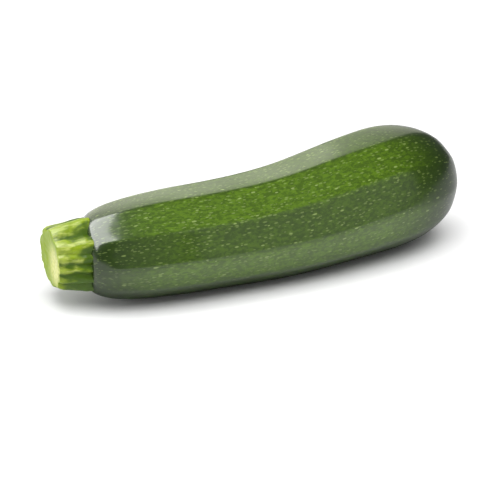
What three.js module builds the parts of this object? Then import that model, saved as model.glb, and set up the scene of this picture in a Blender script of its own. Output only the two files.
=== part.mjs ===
// A courgette as picked, lying on its side: the fruit, and the stub of ridged stem that it was cut with.
//
// Millimetres, +Z up. +X runs along the courgette, from the stem to the blossom end, and the fruit bows
// towards -Y. The origin is on the surface that it lies on, under the middle of the courgette's box.

import * as THREE from "three";
import { mergeVertices } from "three/addons/utils/BufferGeometryUtils.js";

// The fruit. Distances along it are measured from the seat of the stem, on the centreline.
const FRUIT_LENGTH = 168;
const NECK_RADIUS = 21.9; // between the shoulder and the swelling
const BULB_RADIUS = 26.2; // at the thickest, towards the blossom end
const SWELL_START = 45;
const SWELL_END = 138;
const SHOULDER_LENGTH = 67;
const SHOULDER_POWER = 3; // above 2 the rounding is squarer than an ellipse
const TIP_LENGTH = 41;
const TIP_POWER = 2.5;
const SEAT_RADIUS = 11.1; // flat disc under the stem
const BOW_RADIUS = 344; // the centreline is an arc of this radius
const PRESSED_FLAT = 0.7; // height of flesh that its weight flattens against the surface

// The neck arches a little clear of the surface.
const ARCH_HEIGHT = 1.05;
const ARCH_RISE = [-15, 35]; // where the arch starts and where it is full
const ARCH_FALL = [50, 92];

// Ten ribs with flat sides between them run from the stem to the blossom end, about 36 degrees apart.
const RIB_COUNT = 10;
const FACETS = 0.85; // 1 makes the sides between the ribs flat, 0 leaves the fruit round
const FACETS_LOST = 0.7; // share of that lost towards the blossom end
const RIB_ROUNDING = 0.05; // of the ribs' edges, in radians round the fruit
const CROWDED_AT = -32; // degrees: the low rib on the front stands closer to the next one up
const CROWDED_BY = 5.5;
const CROWDED_WIDTH = 20;
const LUMP_HEIGHT = 0.25; // slow unevenness of the skin

// The scar that the flower left, a shallow dimple in the tip
const SCAR_RADIUS = 5.5;
const SCAR_DEPTH = 0.8;

// The stem
const STEM_LENGTH = 14.6; // to the middle of its cut end
const STEM_BASE_RADIUS = 15.3;
const STEM_CUT_RADIUS = 12.6;
const CUT_EDGE = 0.9; // rounding of the cut end's edge
const CUT_SLOPE = 0.17; // how much further the cut end reaches for each mm towards +Y
const STEM_GAP = 0.3; // keeps the two solids apart
const GROOVE_DEPTH = 0.2; // of the deepest groove, as a share of the radius

// The stem's ridges round its axis: degrees from the -Y side upwards, height as a share, half-width in degrees
const RIDGES = [
  { at: 41, height: 1, width: 18 },
  { at: 85, height: 1.1, width: 20 },
  { at: 125, height: 0.8, width: 14 },
  { at: 160, height: 1, width: 18 },
  { at: 203, height: 0.95, width: 16 },
  { at: 240, height: 0.85, width: 18 },
  { at: 275, height: 0.65, width: 14 },
  { at: 310, height: 0.85, width: 18 },
  { at: 336, height: 0.7, width: 11 },
  { at: 357, height: 0.6, width: 8 },
  { at: 18, height: 0.7, width: 11 },
];

// How finely the solids are faceted
const FRUIT_STATIONS = 46;
const FRUIT_SEGMENTS = 60;
const STEM_STATIONS = 12;
const STEM_SEGMENTS = 72;
const WELD = 1e-3;

const { degToRad, smoothstep } = THREE.MathUtils;

// Rounded share from 0 at an end to 1 where the rounding stops.
const rounding = (share, power) => (1 - (1 - Math.min(share, 1)) ** power) ** (1 / power);

const bodyRadius = (along) =>
  NECK_RADIUS + (BULB_RADIUS - NECK_RADIUS) * smoothstep(along, SWELL_START, SWELL_END);

function fruitRadius(along) {
  const shoulder = rounding(along / SHOULDER_LENGTH, SHOULDER_POWER);
  const tip = rounding((FRUIT_LENGTH - along) / TIP_LENGTH, TIP_POWER);
  const seat = SEAT_RADIUS / NECK_RADIUS;
  return bodyRadius(along) * (seat + (1 - seat) * shoulder) * tip;
}

// The radius at an angle round a section with flat sides, over the radius at its ribs.
function flatSided(angle) {
  const half = Math.PI / RIB_COUNT;
  const fromCrowded = (angle - degToRad(CROWDED_AT)) / degToRad(CROWDED_WIDTH);
  const turned = (angle - degToRad(CROWDED_BY) * Math.exp(-(fromCrowded ** 2))) / (2 * half);
  const away = Math.abs(turned - Math.round(turned)) * 2 * half;
  const rounded = Math.hypot(away, RIB_ROUNDING) - 0.4 * RIB_ROUNDING * (1 - away / half);
  return Math.cos(half) / Math.cos(half - rounded);
}

// What ribs and lumps add to the fruit's radius, as a share, at a place along it and an angle round it.
function skinRelief(along, angle) {
  const middle = (1 + Math.cos(Math.PI / RIB_COUNT)) / 2;
  const lost = FACETS_LOST * smoothstep(along, 0.6 * FRUIT_LENGTH, FRUIT_LENGTH);
  const strength = FACETS * (1 + 0.2 * Math.sin(3 * angle + 1)) * (1 - lost);
  const lump = Math.sin(along / 17 + 2 * angle) * Math.sin(along / 31 - 3 * angle + 1);
  const drift = 0.03 * Math.sin(along / 40);
  return strength * (flatSided(angle + drift) - middle) + (LUMP_HEIGHT * lump) / bodyRadius(along);
}

// The stem's radius as a share of its plain round one, from the grooves between its ridges.
function stemGrooves(angle) {
  let crest = 0;
  for (const ridge of RIDGES) {
    const away = Math.abs(angle - degToRad(ridge.at)) % (2 * Math.PI);
    const nearest = Math.min(away, 2 * Math.PI - away);
    crest = Math.max(crest, ridge.height * Math.exp(-((nearest / degToRad(ridge.width)) ** 2)));
  }
  return 1 - GROOVE_DEPTH * (1 - crest);
}

// A place on the centreline, and the directions along it and sideways. The stem goes straight on from the fruit.
function centreline(along) {
  const turn = (Math.max(along, 0) - FRUIT_LENGTH / 2) / BOW_RADIUS;
  const tangent = new THREE.Vector3(Math.cos(turn), Math.sin(turn), 0);
  const side = new THREE.Vector3(tangent.y, -tangent.x, 0);
  const point = new THREE.Vector3(Math.sin(turn), 1 - Math.cos(turn), 0).multiplyScalar(BOW_RADIUS);
  const onFruit = Math.max(along, 0);
  const arch = smoothstep(onFruit, ...ARCH_RISE) - smoothstep(onFruit, ...ARCH_FALL);
  point.z = bodyRadius(onFruit) - PRESSED_FLAT + ARCH_HEIGHT * arch;
  return { point: point.addScaledVector(tangent, Math.min(along, 0)), side };
}

// Turns a lathed blank, whose axis is the straightened centreline, into the grown shape.
function grow(blank, shape) {
  const positions = blank.getAttribute("position");
  for (let i = 0; i < positions.count; i++) {
    const blankRadius = Math.hypot(positions.getX(i), positions.getZ(i));
    const angle = Math.atan2(-positions.getX(i), positions.getZ(i));
    const { along, radius } = shape(positions.getY(i), angle, blankRadius);
    const { point, side } = centreline(along);
    point.addScaledVector(side, radius * Math.cos(angle));
    point.z += radius * Math.sin(angle);
    positions.setXYZ(i, point.x, point.y, point.z);
  }
  blank.deleteAttribute("normal");
  blank.deleteAttribute("uv");
  const grown = mergeVertices(blank, WELD);
  grown.computeVertexNormals();
  return grown;
}

function makeFruit() {
  const outline = [new THREE.Vector2(0, 0), new THREE.Vector2(SEAT_RADIUS, 0)];
  for (let i = 1; i < FRUIT_STATIONS; i++) {
    const along = (FRUIT_LENGTH * (1 - Math.cos((Math.PI * i) / FRUIT_STATIONS))) / 2;
    outline.push(new THREE.Vector2(fruitRadius(along), along));
  }
  outline.push(new THREE.Vector2(0, FRUIT_LENGTH));

  const fruit = grow(new THREE.LatheGeometry(outline, FRUIT_SEGMENTS), (along, angle, radius) => {
    const relief = skinRelief(along, angle) * smoothstep(along, 0, SEAT_RADIUS);
    const inScar = along > FRUIT_LENGTH / 2 ? 1 - smoothstep(radius, 0, SCAR_RADIUS) : 0;
    return {
      along: along - SCAR_DEPTH * inScar,
      radius: radius * (1 + relief),
    };
  });

  // The underside is flat where it rests.
  const positions = fruit.getAttribute("position");
  for (let i = 0; i < positions.count; i++) positions.setZ(i, Math.max(positions.getZ(i), 0));
  return fruit;
}

function makeStem() {
  const taper = (from) => STEM_CUT_RADIUS + (STEM_BASE_RADIUS - STEM_CUT_RADIUS) * from ** 0.6;
  const outline = [
    new THREE.Vector2(0, -STEM_LENGTH),
    new THREE.Vector2(STEM_CUT_RADIUS - CUT_EDGE, -STEM_LENGTH),
  ];
  for (let i = 0; i <= STEM_STATIONS; i++) {
    const share = i / STEM_STATIONS;
    const along = THREE.MathUtils.lerp(-STEM_LENGTH + CUT_EDGE, -STEM_GAP, share);
    outline.push(new THREE.Vector2(taper(share), along));
  }
  outline.push(new THREE.Vector2(0, -STEM_GAP));

  return grow(new THREE.LatheGeometry(outline, STEM_SEGMENTS), (along, angle, radius) => {
    const grooved = radius * stemGrooves(angle);
    const towardsCut = Math.max(-along - STEM_GAP, 0) / (STEM_LENGTH - STEM_GAP);
    return { along: along + CUT_SLOPE * towardsCut * grooved * Math.cos(angle), radius: grooved };
  });
}

function makeMesh(name, geometry, finish) {
  const mesh = new THREE.Mesh(geometry, new THREE.MeshStandardMaterial({ metalness: 0, ...finish }));
  mesh.name = name;
  return mesh;
}

const courgette = new THREE.Group();
courgette.add(
  makeMesh("fruit", makeFruit(), { color: 0x3f6420, roughness: 0.32 }),
  makeMesh("stem", makeStem(), { color: 0x9cb63e, roughness: 0.5 }),
);

// Brings the middle of the box over the origin.
const middle = new THREE.Box3().setFromObject(courgette).getCenter(new THREE.Vector3());
for (const piece of courgette.children) piece.position.set(-middle.x, -middle.y, 0);

export default courgette;
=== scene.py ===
# A courgette for close views, lying on a pale floor in soft studio light.
#
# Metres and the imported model's frame: +X from the stem to the blossom end, +Z up, and the courgette
# bows towards -Y. Laid out as an add-on: settings, one operator for each piece and one for the studio,
# and a panel that lists them.
import bisect
import math

import bmesh
import bpy
from bpy.props import FloatProperty, FloatVectorProperty, IntProperty, PointerProperty
from mathutils import Matrix, Vector, noise


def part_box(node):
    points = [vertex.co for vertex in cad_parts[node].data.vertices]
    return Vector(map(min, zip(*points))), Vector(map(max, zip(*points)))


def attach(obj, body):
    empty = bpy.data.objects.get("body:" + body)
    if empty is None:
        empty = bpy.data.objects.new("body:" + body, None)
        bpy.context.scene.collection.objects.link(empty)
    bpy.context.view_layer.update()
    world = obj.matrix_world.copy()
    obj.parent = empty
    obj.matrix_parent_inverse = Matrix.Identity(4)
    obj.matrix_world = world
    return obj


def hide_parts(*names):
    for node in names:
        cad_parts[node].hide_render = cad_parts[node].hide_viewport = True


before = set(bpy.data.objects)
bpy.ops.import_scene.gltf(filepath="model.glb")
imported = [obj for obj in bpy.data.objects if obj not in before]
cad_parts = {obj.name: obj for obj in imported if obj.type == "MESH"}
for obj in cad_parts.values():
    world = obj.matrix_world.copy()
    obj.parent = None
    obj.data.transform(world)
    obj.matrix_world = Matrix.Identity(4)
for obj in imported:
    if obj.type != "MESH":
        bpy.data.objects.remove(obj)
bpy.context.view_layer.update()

bl_info = {
    "name": "Courgette",
    "version": (1, 0, 0),
    "blender": (4, 5, 0),
    "location": "View3D > Sidebar > Courgette",
    "description": "Grows a courgette and lights it on a pale floor",
    "category": "Object",
}

MM = 0.001
WELD = 1e-6  # points closer than this are one

# Roundings of the fruit's two ends: above 2 they are squarer than an ellipse.
SHOULDER_POWER = 3
TIP_POWER = 2.5

# Where the arch of the neck rises and falls again, along the fruit.
ARCH_RISE = (-15 * MM, 35 * MM)
ARCH_FALL = (50 * MM, 92 * MM)

# The fruit's section has flat sides between ribs. The low rib on the front stands closer to the next.
FLAT_SIDES = 10
FACETS_LOST = 0.7  # share of the facets lost towards the blossom end
FACETS_LOST_FROM = 0.6  # share of the fruit's length from which they are lost
FACETS_UNEVEN = 0.2  # share by which they are stronger or weaker, round the fruit
RIB_ROUNDING = 0.05  # of the ribs' edges, in radians round the fruit
CROWDED_AT = math.radians(-32)
CROWDED_BY = math.radians(5.5)
CROWDED_WIDTH = math.radians(20)
RIB_DRIFT = 0.03  # how far the ribs wander to either side, in radians
RIB_DRIFT_LENGTH = 40 * MM

# Slow unevenness of the skin: the lengths of its two waves along the fruit.
LUMP_LENGTH = 17 * MM
LONG_LUMP_LENGTH = 31 * MM

# The dimple in which the flower's scar lies.
DIMPLE_RADIUS = 5.5 * MM
DIMPLE_DEPTH = 0.8 * MM

# The foot of the stem, where it spreads over the fruit.
FOOT_SUNK = 0.6 * MM  # how far it goes into the fruit
FOOT_LENGTH = 5 * MM  # from here on it follows the fruit's shoulder
FOOT_FOLLOWS = 0.35  # share of the shoulder's fall that it follows
FOOT_FADE = 2.4 * MM  # over which its spread dies away
FOOT_INNER = 8 * MM  # radius of the flat under it

# How the stem runs from the cut end to the foot.
SPREAD_POWER = 0.6  # under 1, it widens soon after the cut
LIP_FROM = 0.8  # share of its length from which the side draws in to the lip
GROOVES_LOST = 0.25  # share of the grooves' depth lost towards the cut
GROOVES_FROM = 0.6  # share of the cut radius at which the grooves begin on the cut end
FACE_EDGE = 0.35  # share of the edge's rounding that has the colour of the cut flesh
SWAY = 0.07  # how far the ridges sway to either side near the cut, in radians
SWAY_LENGTH = 4 * MM

# The fine wrinkles of the stem, drawn out along it.
WRINKLE_LENGTH = 6 * MM
WRINKLE_WIDTH = 2.2 * MM
WRINKLE_LAYERS = (0.8, 2.1, 3)  # smoothness, step from one layer's fineness to the next's, and number

# The ridges round the stem: degrees from the -Y side upwards, height as a share, half-width in degrees.
RIDGES = (
    (41, 1.0, 18),
    (85, 1.1, 20),
    (125, 0.8, 14),
    (160, 1.0, 18),
    (203, 0.95, 16),
    (240, 0.85, 18),
    (275, 0.65, 14),
    (310, 0.85, 18),
    (336, 0.7, 11),
    (357, 0.6, 8),
    (18, 0.7, 11),
)


# ---------------------------------------------------------------------------------------------------
# Settings


def size(name, description, default, **limits):
    """A length in metres, given in millimetres here."""
    return FloatProperty(
        name=name, description=description, default=default * MM, unit="LENGTH", subtype="DISTANCE",
        precision=5, **limits
    )


def share(name, description, default):
    """A number from 0 to 1."""
    return FloatProperty(
        name=name, description=description, default=default, subtype="FACTOR", min=0.0, max=1.0
    )


def count(name, description, default, low, high):
    """A whole number of faces."""
    return IntProperty(name=name, description=description, default=default, min=low, max=high)


def colour(name, description, default):
    """A colour, in linear light."""
    return FloatVectorProperty(
        name=name, description=description, default=default, subtype="COLOR", size=3, min=0.0, max=1.0
    )


def power(name, description, default):
    """The power of a light, in watts."""
    return FloatProperty(name=name, description=description, default=default, unit="POWER", min=0.0)


def brightness(name, description, default):
    """The strength of a glow from all round."""
    return FloatProperty(name=name, description=description, default=default, min=0.0)


def turn(name, description, default):
    """An angle, given in degrees here."""
    return FloatProperty(
        name=name, description=description, default=math.radians(default), subtype="ANGLE",
        unit="ROTATION",
    )


class CourgetteFruit(bpy.types.PropertyGroup):
    """The fruit. Distances along it start at the seat of the stem."""

    length: size("Length", "Seat of the stem to the blossom end, along the centreline", 168)
    neck_radius: size("Neck radius", "Between the shoulder and the swelling", 21.9)
    bulb_radius: size("Bulb radius", "At the thickest, towards the blossom end", 26.2)
    swell_start: size("Swelling starts", "Where the neck begins to thicken", 45)
    swell_end: size("Swelling ends", "Where the bulb has its full radius", 138)
    shoulder_length: size("Shoulder length", "Over which the stem end rounds off", 67)
    tip_length: size("Tip length", "Over which the blossom end rounds off", 41)
    seat_radius: size("Seat radius", "Flat disc under the stem", 11.1)
    bow_radius: size("Bow radius", "Radius of the arc that the centreline follows", 344)
    arch_height: size("Arch", "How far the neck arches clear of the floor", 1.05, min=0.0)
    pressed_flat: size("Pressed flat", "Height of flesh flattened against the surface", 0.7)
    facets: share("Facets", "From a round section, 0, to one with flat sides and sharp ribs, 1", 0.85)
    lump_height: size("Lumps", "Slow unevenness of the skin", 0.25)
    rings: count("Rings", "Rings of faces along the fruit", 230, 40, 400)
    segments: count("Segments", "Faces round the fruit", 200, 40, 400)
    deep: colour("Deep green", "Deep green of every second stripe", (0.038, 0.077, 0.003))
    fresh: colour("Fresh green", "Lighter green of the stripes between", (0.076, 0.150, 0.0045))
    # Also the colour of painted shade on the underside, at the blossom end and round the stem.
    dark_and_shade: colour("Dark green", "Near both ends, below and between the grain", (0.008, 0.020, 0.0015))
    speck: colour("Specks", "Pale flecks and dashes", (0.26, 0.35, 0.10))
    scar: colour("Scar", "Corky rim of the flower's scar", (0.25, 0.19, 0.10))
    scar_middle: colour("Scar middle", "Darker middle of the flower's scar", (0.085, 0.058, 0.027))


class CourgetteStem(bpy.types.PropertyGroup):
    """The stub of stem, and its cut end."""

    length: size("Length", "Seat to the middle of the cut end", 14.4)
    base_radius: size("Base radius", "Where it stands on the fruit", 15.3)
    cut_radius: size("Cut radius", "At the cut end", 12.6)
    cut_edge: size("Cut edge", "Rounding of the cut end's edge", 0.7)
    cut_slope: share("Cut slope", "How much further the cut end reaches for each metre towards +Y", 0.17)
    groove_depth: share("Groove depth", "Of the deepest groove, as a share of the radius", 0.2)
    flare: size("Flare", "How far the ridges spread over the fruit at the base", 1.1)
    lip: size("Lip", "Rounding of the edge that lies on the fruit", 0.7, min=0.0)
    wrinkles: size("Wrinkles", "Height of the fine wrinkles along the stem", 0.2, min=0.0)
    dish: size("Dish", "How far the middle of the cut end has sunk", 0.9)
    rings: count("Rings", "Rings of faces along the stem", 44, 10, 200)
    segments: count("Segments", "Faces round the stem", 288, 72, 720)
    ridge: colour("Ridges", "Yellow-green of the ridges", (0.20, 0.285, 0.006))
    groove: colour("Grooves", "Green at the bottom of the grooves", (0.042, 0.088, 0.002))
    # Also the pale of the painted highlight on the stem's upper ridges.
    flesh: colour("Cut flesh", "Pale flesh of the cut end", (0.58, 0.59, 0.21))


class CourgetteStudio(bpy.types.PropertyGroup):
    """The floor, the lights and the camera."""

    floor_side: size("Floor side", "Side of the square floor", 8000)
    floor: colour("Floor", "Matt white floor", (0.86, 0.86, 0.86))
    top_watts: power("Overhead light", "Softbox overhead", 20.8)
    side_watts: power("Side light", "Softbox beside the stem", 9.6)
    key_watts: power("Key panel", "Panel beside the stem, seen in the gloss", 68.0)
    back_watts: power("Back panel", "Tall panel behind, seen in the gloss", 10.4)
    back_tint: colour("Back panel tint", "Colour of the tall panels behind", (0.97, 1.0, 0.80))
    fill_watts: power("Front panel", "Weak panel in front, seen in the gloss", 2.9)
    room: brightness("Room", "Brightness of the room, as the skin mirrors it", 0.15)
    ambient: brightness("Ambient", "Light from all round", 0.36)
    backdrop: brightness("Backdrop", "Brightness behind the floor", 0.9)
    azimuth: turn("Camera azimuth", "Round the courgette from the -Y side", -28.12)
    elevation: turn("Camera elevation", "Above the floor", 25.21)
    distance: size("Camera distance", "From the point that it looks at", 750)
    lens: FloatProperty(
        name="Lens", description="Focal length in millimetres", default=130.72, unit="CAMERA"
    )
    aim: FloatVectorProperty(
        name="Camera aim", description="Point that the camera looks at",
        default=(-0.0052, 0.0025, 0.0096), size=3, subtype="TRANSLATION", unit="LENGTH",
    )


# ---------------------------------------------------------------------------------------------------
# Shader nodes


class Value:
    """One output of a shader node. Arithmetic on it adds the Math nodes that work it out."""

    def __init__(self, shader, output):
        self.shader = shader
        self.output = output

    def __add__(self, other):
        return self.shader.math("ADD", self, other)

    def __radd__(self, other):
        return self.shader.math("ADD", other, self)

    def __sub__(self, other):
        return self.shader.math("SUBTRACT", self, other)

    def __rsub__(self, other):
        return self.shader.math("SUBTRACT", other, self)

    def __mul__(self, other):
        return self.shader.math("MULTIPLY", self, other)

    def __rmul__(self, other):
        return self.shader.math("MULTIPLY", other, self)

    def __truediv__(self, other):
        return self.shader.math("DIVIDE", self, other)

    def __rtruediv__(self, other):
        return self.shader.math("DIVIDE", other, self)

    def __pow__(self, other):
        return self.shader.math("POWER", self, other)


class Shader:
    """A node tree that is built through one method."""

    def __init__(self, owner):
        owner.use_nodes = True
        self.tree = owner.node_tree
        self.tree.nodes.clear()

    def node(self, kind, settings=None, sockets=None, output=0):
        """Adds a node, its settings first and then its sockets' values or links, and gives one output."""
        made = self.tree.nodes.new(kind)
        for name, value in (settings or {}).items():
            setattr(made, name, value)
        for name, value in (sockets or {}).items():
            if isinstance(value, Value):
                self.tree.links.new(value.output, made.inputs[name])
            else:
                made.inputs[name].default_value = value
        return Value(self, made.outputs[output]) if made.outputs else None

    def math(self, operation, *numbers):
        return self.node("ShaderNodeMath", {"operation": operation}, dict(enumerate(numbers)))

    def smooth(self, value, low, high):
        """0 below low and 1 above high, with a smooth step between."""
        return self.node(
            "ShaderNodeMapRange", {"interpolation_type": "SMOOTHSTEP"}, {0: value, 1: low, 2: high}
        )

    def mix(self, factor, first, second):
        """Mixes two colours."""
        return self.node(
            "ShaderNodeMix", {"data_type": "RGBA"}, {0: factor, 6: first, 7: second}, output=2
        )

    def scaled(self, vector, along, across=1.0):
        """Scales a vector. With along under 1 and across 1, a pattern on it is drawn out lengthways."""
        return self.node(
            "ShaderNodeVectorMath", {"operation": "MULTIPLY"}, {0: vector, 1: (along, across, across)}
        )

    def attribute(self, name):
        return self.node("ShaderNodeAttribute", {"attribute_name": name}, output="Vector")

    def parts(self, vector):
        """The three numbers of a vector."""
        split = self.node("ShaderNodeSeparateXYZ", None, {0: vector})
        return [Value(self, output) for output in split.output.node.outputs]

    def noise(self, vector, scale, detail=2.0, roughness=0.5, distortion=0.0):
        """Cloudy noise from 0 to 1."""
        sockets = {
            "Vector": vector, "Scale": scale, "Detail": detail, "Roughness": roughness,
            "Distortion": distortion,
        }
        return self.node("ShaderNodeTexNoise", None, sockets)

    def cells(self, vector, scale, output):
        return self.node("ShaderNodeTexVoronoi", None, {"Vector": vector, "Scale": scale}, output)

    def specks(self, vector, scale, smallest, largest, kept):
        """Round specks at random places, of which the share kept is there, 1 in their middles."""
        distance = self.cells(vector, scale, "Distance")
        chance, other_chance, _ = self.parts(self.cells(vector, scale, "Color"))
        radius = smallest + (largest - smallest) * chance
        there = self.math("LESS_THAN", other_chance, kept)
        return self.smooth(1 - distance / radius, 0.0, 0.45) * there

    def bump(self, height, strength, distance):
        return self.node(
            "ShaderNodeBump", None, {"Strength": strength, "Distance": distance, "Height": height}
        )

    def surface(self, **sockets):
        """The Principled surface and the output."""
        named = {name.replace("_", " "): value for name, value in sockets.items()}
        shader = self.node("ShaderNodeBsdfPrincipled", None, named)
        self.node("ShaderNodeOutputMaterial", None, {"Surface": shader})


def opaque(rgb):
    return (*rgb, 1.0)


def grey(level):
    return (level, level, level, 1.0)


# ---------------------------------------------------------------------------------------------------
# Shapes


def smoothstep(value, low, high):
    t = min(max((value - low) / (high - low), 0.0), 1.0)
    return t * t * (3 - 2 * t)


def rounding(part, exponent):
    """Rounded share from 0 at an end to 1 where the rounding stops."""
    return (1 - (1 - min(part, 1.0)) ** exponent) ** (1 / exponent)


def body_radius(fruit, along):
    """The fruit's radius, but for the rounding of its ends."""
    return fruit.neck_radius + (fruit.bulb_radius - fruit.neck_radius) * smoothstep(
        along, fruit.swell_start, fruit.swell_end
    )


def fruit_radius(fruit, along):
    shoulder = rounding(along / fruit.shoulder_length, SHOULDER_POWER)
    tip = rounding((fruit.length - along) / fruit.tip_length, TIP_POWER)
    seat = fruit.seat_radius / fruit.neck_radius
    return body_radius(fruit, along) * (seat + (1 - seat) * shoulder) * tip


def shoulder_under(fruit, radius):
    """How far along the fruit its shoulder reaches this radius."""
    seat = fruit.seat_radius / fruit.neck_radius
    risen = min(max((radius / fruit.neck_radius - seat) / (1 - seat), 0.0), 1.0)
    return fruit.shoulder_length * (1 - (1 - risen**SHOULDER_POWER) ** (1 / SHOULDER_POWER))


def centreline(fruit, along):
    """The place on the centreline and the direction sideways. The stem goes straight on from the fruit."""
    bend = (max(along, 0.0) - fruit.length / 2) / fruit.bow_radius
    tangent = Vector((math.cos(bend), math.sin(bend), 0.0))
    place = fruit.bow_radius * Vector((math.sin(bend), 1 - math.cos(bend), 0.0))
    on_fruit = max(along, 0.0)
    arch = smoothstep(on_fruit, *ARCH_RISE) - smoothstep(on_fruit, *ARCH_FALL)
    place.z = body_radius(fruit, on_fruit) - fruit.pressed_flat + fruit.arch_height * arch
    return place + tangent * min(along, 0.0), Vector((tangent.y, -tangent.x, 0.0))


def on_section(fruit, along, radius, angle):
    """The point at a radius and an angle, in the section at a distance along the centreline."""
    middle, side = centreline(fruit, along)
    return middle + side * radius * math.cos(angle) + Vector((0, 0, radius * math.sin(angle)))


def rib_angle(along, angle):
    """The angle, as it would be if the ribs were straight and evenly spread."""
    angle += RIB_DRIFT * math.sin(along / RIB_DRIFT_LENGTH)
    return angle - CROWDED_BY * math.exp(-(((angle - CROWDED_AT) / CROWDED_WIDTH) ** 2))


def flat_sided(evened):
    """Radius of a section with flat sides, over its ribs' radius, at an angle from rib_angle."""
    half = math.pi / FLAT_SIDES
    turned = evened / (2 * half)
    away = abs(turned - round(turned)) * 2 * half
    away = math.hypot(away, RIB_ROUNDING) - 0.4 * RIB_ROUNDING * (1 - away / half)
    return math.cos(half) / math.cos(half - away)


def skin_relief(fruit, along, angle):
    """What facets and lumps add to the fruit's radius, as a share."""
    middle = (1 + math.cos(math.pi / FLAT_SIDES)) / 2
    lost = FACETS_LOST * smoothstep(along, FACETS_LOST_FROM * fruit.length, fruit.length)
    strength = fruit.facets * (1 + FACETS_UNEVEN * math.sin(3 * angle + 1)) * (1 - lost)
    facets = strength * (flat_sided(rib_angle(along, angle)) - middle)
    lump = math.sin(along / LUMP_LENGTH + 2 * angle)
    lump *= math.sin(along / LONG_LUMP_LENGTH - 3 * angle + 1)
    return facets + fruit.lump_height * lump / body_radius(fruit, along)


def stem_crest(angle):
    """1 on the crest of a ridge of the stem, down to 0 in the deepest groove."""
    crest = 0.0
    for at, height, width in RIDGES:
        away = abs(angle - math.radians(at)) % (2 * math.pi)
        nearest = min(away, 2 * math.pi - away)
        crest = max(crest, height * math.exp(-((nearest / math.radians(width)) ** 2)))
    return crest


def wrinkle(along, angle, radius):
    """Fine wrinkles of the stem, drawn out along it, from about -1 to 1."""
    across = radius / WRINKLE_WIDTH
    place = Vector((along / WRINKLE_LENGTH, across * math.cos(angle), across * math.sin(angle)))
    return noise.fractal(place, *WRINKLE_LAYERS)


def fruit_outline(fruit):
    """(along, radius) points from the middle of the seat, over the skin, to the blossom end."""
    seat_rings = 6
    outline = [(0.0, fruit.seat_radius * i / seat_rings) for i in range(seat_rings + 1)]
    for i in range(1, fruit.rings):
        along = fruit.length * (1 - math.cos(math.pi * i / fruit.rings)) / 2
        outline.append((along, fruit_radius(fruit, along)))
    return outline + [(fruit.length, 0.0)]


def stem_outline(stem):
    """(along, radius) points from the middle of the cut end, over the side, to under the foot."""
    face_rings, edge_rings, lip_rings = 14, 4, 3
    inner = stem.cut_radius - stem.cut_edge
    outline = [(-stem.length, inner * i / face_rings) for i in range(face_rings + 1)]
    for i in range(1, edge_rings + 1):
        bend = math.pi / 2 * i / edge_rings
        over = stem.cut_edge * (1 - math.cos(bend))
        outline.append((over - stem.length, inner + stem.cut_edge * math.sin(bend)))
    for i in range(1, stem.rings + 1):
        part = i / stem.rings
        along = (stem.cut_edge - stem.length) * (1 - part) + FOOT_SUNK * part
        radius = stem.cut_radius + (stem.base_radius - stem.cut_radius) * part**SPREAD_POWER
        outline.append((along, radius - stem.lip * smoothstep(part, LIP_FROM, 1.0)))
    for i in range(1, lip_rings + 1):
        bend = math.pi / 2 * i / lip_rings
        under = stem.lip * (2 - math.cos(bend))
        outline.append((FOOT_SUNK + stem.lip * math.sin(bend), stem.base_radius - under))
    return outline + [(FOOT_SUNK, FOOT_INNER), (FOOT_SUNK, 0.0)]


def lathe(outline, segments):
    """A closed blank, turned about the X axis from (along, radius) points that start and end on it."""
    bm = bmesh.new()
    points = [bm.verts.new((along, -radius, 0.0)) for along, radius in outline]
    lines = [bm.edges.new(pair) for pair in zip(points, points[1:])]
    bmesh.ops.spin(
        bm, geom=points + lines, cent=(0, 0, 0), axis=(1, 0, 0), angle=2 * math.pi, steps=segments,
        use_merge=True,
    )
    bmesh.ops.remove_doubles(bm, verts=bm.verts, dist=WELD)
    return bm


def on_blank(vert):
    """Where a point of a blank is: along, radius, and angle from the -Y side upwards."""
    return vert.co.x, math.hypot(vert.co.y, vert.co.z), math.atan2(vert.co.z, -vert.co.y)


def on_skin(along, radius, angle):
    """Where a pattern on the skin is read: the same skin, pulled straight and to an even radius."""
    return Vector((along, -radius * math.cos(angle), radius * math.sin(angle)))


def middle_of(bm):
    """Middle of the box round a mesh."""
    corners = [[pick(vert.co[axis] for vert in bm.verts) for axis in range(3)] for pick in (min, max)]
    return (Vector(corners[0]) + Vector(corners[1])) / 2


def finish_piece(bm, name, material, node):
    """Makes the piece's object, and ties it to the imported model."""
    bmesh.ops.recalc_face_normals(bm, faces=bm.faces)
    mesh = bpy.data.meshes.new(name)
    bm.to_mesh(mesh)
    bm.free()
    mesh.shade_smooth()
    mesh.materials.append(material)
    piece = bpy.data.objects.new(name, mesh)
    bpy.context.scene.collection.objects.link(piece)
    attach(piece, "root")
    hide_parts(node)
    return piece


# ---------------------------------------------------------------------------------------------------
# Materials. Patterns are read in millimetres: along the skin, and across and upwards round it.


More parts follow.
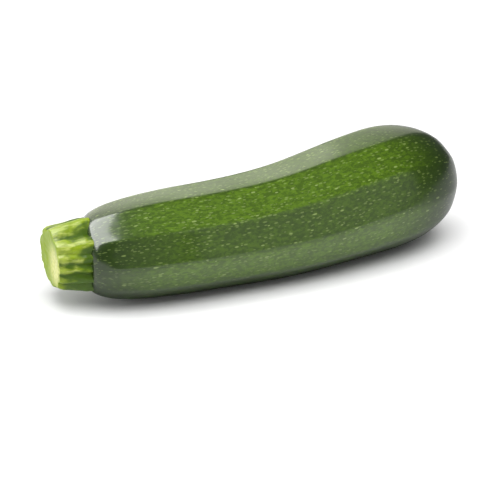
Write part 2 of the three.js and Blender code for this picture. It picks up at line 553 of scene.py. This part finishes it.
def skin_material(fruit):
    """Waxy green skin with mottling, pale flecks and dashes, and the corky scar of the flower."""
    material = bpy.data.materials.new("courgette skin")
    s = Shader(material)
    skin = s.scaled(s.attribute("skin"), 1000, 1000)
    _, _, upwards = s.parts(skin)
    stripe, from_stem, from_tip = s.parts(s.attribute("place"))
    drawn_out = s.scaled(skin, 0.5)

    # Stripes of two greens, with ragged edges, under a slow change of tone.
    tone = s.smooth(s.noise(s.scaled(skin, 0.3), 0.14), 0.25, 0.75)
    ragged = (s.noise(skin, 0.25, 3.0) - 0.5) * 0.5
    band = s.smooth(stripe + ragged, -0.22, 0.22)
    green = s.mix(0.25 * tone + 0.75 * band, opaque(fruit.deep), opaque(fruit.fresh))

    # Both ends are darker. At the blossom end this is partly the skin's own deeper green and
    # partly painted shade, where the end turns from the light. Round the stem it is painted shade
    # where the stem meets the fruit, running out in streaks of the skin.
    near_tip = 1 - s.smooth(from_tip, 24 * MM, 68 * MM)
    green = s.mix(near_tip, green, opaque(fruit.dark_and_shade))
    streaks = 9 * MM * s.noise(s.scaled(skin, 0.0), 0.5)
    near_stem = 1 - s.smooth(from_stem + streaks, 6 * MM, 42 * MM)
    green = s.mix(0.9 * near_stem, green, opaque(fruit.dark_and_shade))

    # Dark grain, then fine flecks, then fewer and longer dashes.
    grain = s.smooth(s.noise(drawn_out, 0.95, 3.0, 0.65, 0.4), 0.40, 0.62)
    green = s.mix(0.48 * (1 - grain), green, opaque(fruit.dark_and_shade))
    flecks = s.specks(s.scaled(skin, 0.36), 1.25, 0.22, 0.50, kept=0.6)
    flecks *= 1 - 0.6 * near_tip - 0.25 * near_stem
    green = s.mix(0.30 * flecks, green, opaque(fruit.speck))
    dashes = s.specks(s.scaled(skin, 0.38), 0.48, 0.09, 0.23, kept=0.7)
    dashes *= 1 - 0.6 * near_tip - 0.35 * near_stem
    green = s.mix(0.58 * dashes, green, opaque(fruit.speck))

    # Painted shade: the underside is darkened, and its coat is thinner there.
    under = 1 - s.smooth(upwards, -19.0, -5.0)
    green = s.mix(0.85 * under, green, opaque(fruit.dark_and_shade))

    # The flower's scar, by its ragged distance from the tip in millimetres.
    out = from_tip / MM + 2.6 * (s.noise(skin, 0.45, 3.0) - 0.5) + 1.2 * (s.noise(skin, 1.6, 3.0) - 0.5)
    scar = 1 - s.smooth(out, 3.9, 4.7)
    cork = s.mix(s.smooth(out, 1.0, 2.8), opaque(fruit.scar_middle), opaque(fruit.scar))
    green = s.mix(scar, green, cork)

    grainy = s.noise(drawn_out, 0.9, 3.0, 0.6) * (0.4 + 0.9 * near_stem)
    uneven = s.noise(drawn_out, 0.14) * 2.0
    s.surface(
        Base_Color=green,
        Roughness=0.42 + 0.3 * scar,
        IOR=1.45,
        Specular_IOR_Level=0.05,
        Coat_Weight=(1 - scar) * (1 - 0.8 * under) * (1 - 0.45 * near_tip),
        Coat_Roughness=0.17,
        Coat_IOR=1.5,
        Normal=s.bump(grainy + uneven, 0.35, 0.05 * MM),
    )
    return material


def stem_material(stem):
    """Moist yellow-green stem with darker grooves, and the pale flesh of its cut end."""
    material = bpy.data.materials.new("courgette stem")
    s = Shader(material)
    skin = s.scaled(s.attribute("skin"), 1000, 1000)
    _, across, upwards = s.parts(skin)
    crest, from_cut, face = s.parts(s.attribute("place"))
    drawn_out = s.scaled(skin, 0.25)

    # Yellow-green on the ridges and green in the grooves, darker towards the foot, and darker on the
    # lower side as painted shade.
    low = 1 - s.smooth(upwards, -8.0, 0.0)
    darker_foot_and_shade_below = 0.55 * from_cut**2 + 0.65 * low * s.smooth(from_cut, 0.02, 0.35)
    patchy = (s.noise(s.scaled(skin, 0.45), 0.42, 3.0) - 0.5) * 1.8
    shade = s.smooth(crest + patchy - darker_foot_and_shade_below, 0.05, 0.80)
    green = s.mix(shade, opaque(stem.groove), opaque(stem.ridge))

    # Paler beside the cut and in flecks on the ridges, on the upper side only: partly the stem's pale
    # mottling and partly a painted highlight. Darker lines run along the stem.
    pale = shade * (1 - low)
    beside_cut = 1 - s.smooth(from_cut, 0.05, 0.50)
    green = s.mix(0.2 * beside_cut * pale, green, opaque(stem.flesh))
    flecks = s.smooth(s.noise(drawn_out, 0.7, 3.0, 0.6), 0.48, 0.66)
    green = s.mix(0.38 * flecks * pale, green, opaque(stem.flesh))
    lines = s.smooth(s.noise(drawn_out, 0.9), 0.52, 0.64)
    green = s.mix(0.45 * lines * (1 - 0.5 * shade), green, opaque(stem.groove))

    # The cut end: pale pith, set off the middle towards -Y and a little down, in flesh as green as
    # the ridges. The greener far side is painted shade.
    ragged = 2.4 * (s.noise(skin, 0.35, 3.0) - 0.5)
    from_pith = ((across + 5.5) ** 2 + (upwards + 1.5) ** 2) ** 0.5 + ragged
    flesh = s.mix(s.smooth(from_pith, 3.5, 11.5), opaque(stem.flesh), opaque(stem.ridge))
    mottle = s.smooth(s.noise(skin, 0.9, 3.0), 0.45, 0.65)
    flesh = s.mix(0.35 * mottle, flesh, opaque(stem.ridge))
    green = s.mix(face, green, flesh)

    s.surface(
        Base_Color=green,
        Roughness=0.42,
        IOR=1.4,
        Subsurface_Weight=0.25,
        Subsurface_Radius=(0.8, 1.0, 0.3),
        Subsurface_Scale=1.5 * MM,
        Specular_IOR_Level=0.0,
        Coat_Weight=0.5,
        Coat_Roughness=0.30,
        Normal=s.bump(s.noise(drawn_out, 0.9, 4.0, 0.6), 0.55, 0.4 * MM),
    )
    return material


# ---------------------------------------------------------------------------------------------------
# Operators


class COURGETTE_OT_fruit(bpy.types.Operator):
    """Grows the fruit in the place of its plain solid"""

    bl_idname = "courgette.fruit"
    bl_label = "Grow the fruit"

    def execute(self, context):
        fruit = context.scene.courgette_fruit
        outline = fruit_outline(fruit)
        stations = [along for along, _ in outline]
        steps = [0.0]  # distance over the skin from the middle of the seat to each point
        for (a, r), (b, q) in zip(outline, outline[1:]):
            steps.append(steps[-1] + math.hypot(b - a, q - r))

        bm = lathe(outline, fruit.segments)
        skin = bm.verts.layers.float_vector.new("skin")
        place = bm.verts.layers.float_vector.new("place")
        for vert in bm.verts:
            along, radius, angle = on_blank(vert)
            on_seat = along < WELD
            travelled = radius if on_seat else steps[bisect.bisect_left(stations, along - WELD)]
            stripe = -math.sin(FLAT_SIDES / 2 * rib_angle(along, angle))
            vert[skin] = on_skin(travelled, fruit.neck_radius, angle)
            vert[place] = Vector((stripe, travelled - fruit.seat_radius, steps[-1] - travelled))

            relief = skin_relief(fruit, along, angle) * smoothstep(along, 0.0, fruit.seat_radius)
            if along > fruit.length / 2:
                along -= DIMPLE_DEPTH * (1 - smoothstep(radius, 0.0, DIMPLE_RADIUS))
            vert.co = on_section(fruit, along, radius * (1 + relief), angle)
            vert.co.z = max(vert.co.z, 0.0)

        low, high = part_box("fruit")
        shift = (low + high) / 2 - middle_of(bm)
        shift.z = 0.0
        bmesh.ops.translate(bm, vec=shift, verts=bm.verts)
        piece = finish_piece(bm, "courgette_fruit", skin_material(fruit), "fruit")
        piece["shift"] = shift
        return {"FINISHED"}


class COURGETTE_OT_stem(bpy.types.Operator):
    """Grows the stem on the fruit, in the place of its plain solid"""

    bl_idname = "courgette.stem"
    bl_label = "Grow the stem"

    def execute(self, context):
        fruit, stem = context.scene.courgette_fruit, context.scene.courgette_stem
        if "courgette_fruit" not in bpy.data.objects:
            raise RuntimeError("grow the fruit first, because the stem stands on it")
        shift = Vector(bpy.data.objects["courgette_fruit"]["shift"])

        bm = lathe(stem_outline(stem), stem.segments)
        skin = bm.verts.layers.float_vector.new("skin")
        place = bm.verts.layers.float_vector.new("place")
        for vert in bm.verts:
            along, radius, angle = on_blank(vert)
            towards_cut = min(max(-along / stem.length, 0.0), 1.0)
            sway = SWAY * math.sin(3 * angle + along / SWAY_LENGTH) * towards_cut
            crest = stem_crest(angle + sway)
            on_face = along < FACE_EDGE * stem.cut_edge - stem.length
            vert[skin] = on_skin(along, radius if on_face else stem.cut_radius, angle)
            vert[place] = Vector((crest, 1 - towards_cut, float(on_face)))

            hollow = stem.groove_depth * (1 - GROOVES_LOST * towards_cut) * (1 - crest)
            if along < 0:
                hollow *= smoothstep(radius, GROOVES_FROM * stem.cut_radius, stem.cut_radius)
            grooved = radius * (1 - hollow)
            if on_face:
                along += stem.wrinkles * wrinkle(0.0, angle, radius)
                along += stem.dish * (1 - smoothstep(radius, 0.0, stem.cut_radius - stem.cut_edge))
            elif radius > FOOT_INNER + WELD:
                foot = math.exp(-max(-along, 0.0) / FOOT_FADE)
                grooved += stem.flare * foot * crest
                grooved += stem.wrinkles * (1 - foot) * wrinkle(along, angle, stem.cut_radius)
                settled = smoothstep(along, -FOOT_LENGTH, FOOT_SUNK) ** 2
                along += settled * FOOT_FOLLOWS * shoulder_under(fruit, grooved)
            along += stem.cut_slope * towards_cut * grooved * math.cos(angle)
            vert.co = on_section(fruit, along, grooved, angle) + shift
        finish_piece(bm, "courgette_stem", stem_material(stem), "stem")
        return {"FINISHED"}


def area_light(name, place, width, height, watts, mirrored, tint=(1.0, 1.0, 1.0)):
    """A rectangular light that looks at the courgette.

    Gloss shows it if it is mirrored. If not, it lights only what is matt.
    """
    light = bpy.data.lights.new(name, "AREA")
    light.shape = "RECTANGLE"
    light.size, light.size_y = width, height
    light.energy = watts
    light.color = tint
    lamp = bpy.data.objects.new(name, light)
    place = Vector(place)
    facing = (-place).to_track_quat("-Z", "Y").to_matrix().to_4x4()
    lamp.matrix_world = Matrix.Translation(place) @ facing
    lamp.visible_camera = False
    lamp.visible_glossy = mirrored
    lamp.visible_diffuse = not mirrored
    bpy.context.scene.collection.objects.link(lamp)


def lay_floor(studio):
    bm = bmesh.new()
    bmesh.ops.create_grid(bm, x_segments=4, y_segments=4, size=studio.floor_side / 2)
    mesh = bpy.data.meshes.new("floor")
    bm.to_mesh(mesh)
    bm.free()
    paint = bpy.data.materials.new("matt white floor")
    Shader(paint).surface(Base_Color=opaque(studio.floor), Roughness=0.9, Specular_IOR_Level=0.1)
    mesh.materials.append(paint)
    floor = bpy.data.objects.new("floor", mesh)
    bpy.context.scene.collection.objects.link(floor)


def hang_lights(studio):
    top, side, key = studio.top_watts, studio.side_watts, studio.key_watts
    back, front, tint = studio.back_watts, studio.fill_watts, studio.back_tint
    area_light("overhead softbox", (-0.10, -0.38, 1.12), 1.30, 1.15, top, False)
    area_light("stem side softbox", (-1.08, 0.42, 0.66), 1.69, 1.17, side, False)
    area_light("stem side panel", (-0.80, 0.31, 0.92), 1.69, 1.35, key, True)
    area_light("back panel", (0.06, 1.50, 0.73), 1.25, 1.58, back, True, tint)
    area_light("far back panel", (0.92, 1.32, 0.70), 0.60, 1.50, 0.25 * back, True, tint)
    area_light("front panel", (0.62, -1.18, 0.63), 1.15, 1.24, front, True)
    area_light("near front panel", (-0.33, -1.27, 0.60), 0.85, 1.10, 0.33 * front, True)


def light_room(studio):
    """The world: one brightness for matt surfaces, one for gloss and one for what the camera sees."""
    world = bpy.data.worlds.new("studio room")
    w = Shader(world)
    mirrored = w.node("ShaderNodeLightPath", output="Is Glossy Ray")
    seen = w.node("ShaderNodeLightPath", output="Is Camera Ray")
    glow = w.mix(mirrored, grey(studio.ambient), grey(studio.room))
    glow = w.mix(seen, glow, grey(studio.backdrop))
    background = w.node("ShaderNodeBackground", None, {"Color": glow})
    w.node("ShaderNodeOutputWorld", None, {"Surface": background})
    bpy.context.scene.world = world


def place_camera(studio):
    lens = bpy.data.cameras.new("camera")
    lens.lens = studio.lens
    camera = bpy.data.objects.new("camera", lens)
    level = math.cos(studio.elevation)
    back = Vector(
        (
            math.sin(studio.azimuth) * level,
            -math.cos(studio.azimuth) * level,
            math.sin(studio.elevation),
        )
    )
    facing = (-back).to_track_quat("-Z", "Y").to_matrix().to_4x4()
    camera.matrix_world = Matrix.Translation(Vector(studio.aim) + back * studio.distance) @ facing
    bpy.context.scene.collection.objects.link(camera)
    bpy.context.scene.camera = camera


class COURGETTE_OT_studio(bpy.types.Operator):
    """Lays the floor, and sets up the lights and the camera"""

    bl_idname = "courgette.studio"
    bl_label = "Set up the studio"

    def execute(self, context):
        studio = context.scene.courgette_studio
        lay_floor(studio)
        hang_lights(studio)
        light_room(studio)
        place_camera(studio)
        context.scene.view_settings.view_transform = "Standard"
        context.scene.view_settings.look = "None"
        return {"FINISHED"}


class COURGETTE_PT_panel(bpy.types.Panel):
    """Lists the pieces, the studio and their settings"""

    bl_label = "Courgette"
    bl_space_type = "VIEW_3D"
    bl_region_type = "UI"
    bl_category = "Courgette"

    def draw(self, context):
        for operator, settings in STEPS:
            box = self.layout.box()
            box.operator(operator.bl_idname)
            group = getattr(context.scene, settings)
            for name in group.bl_rna.properties.keys():
                if name not in {"rna_type", "name"}:
                    box.prop(group, name)


STEPS = (
    (COURGETTE_OT_fruit, "courgette_fruit"),
    (COURGETTE_OT_stem, "courgette_stem"),
    (COURGETTE_OT_studio, "courgette_studio"),
)
GROUPS = {
    "courgette_fruit": CourgetteFruit,
    "courgette_stem": CourgetteStem,
    "courgette_studio": CourgetteStudio,
}
CLASSES = (*GROUPS.values(), *(operator for operator, _ in STEPS), COURGETTE_PT_panel)


def register():
    for cls in CLASSES:
        bpy.utils.register_class(cls)
    for name, group in GROUPS.items():
        setattr(bpy.types.Scene, name, PointerProperty(type=group))


def unregister():
    for name in GROUPS:
        delattr(bpy.types.Scene, name)
    for cls in reversed(CLASSES):
        bpy.utils.unregister_class(cls)


def main():
    register()
    bpy.ops.courgette.fruit()
    bpy.ops.courgette.stem()
    bpy.ops.courgette.studio()


if __name__ == "__main__":
    main()
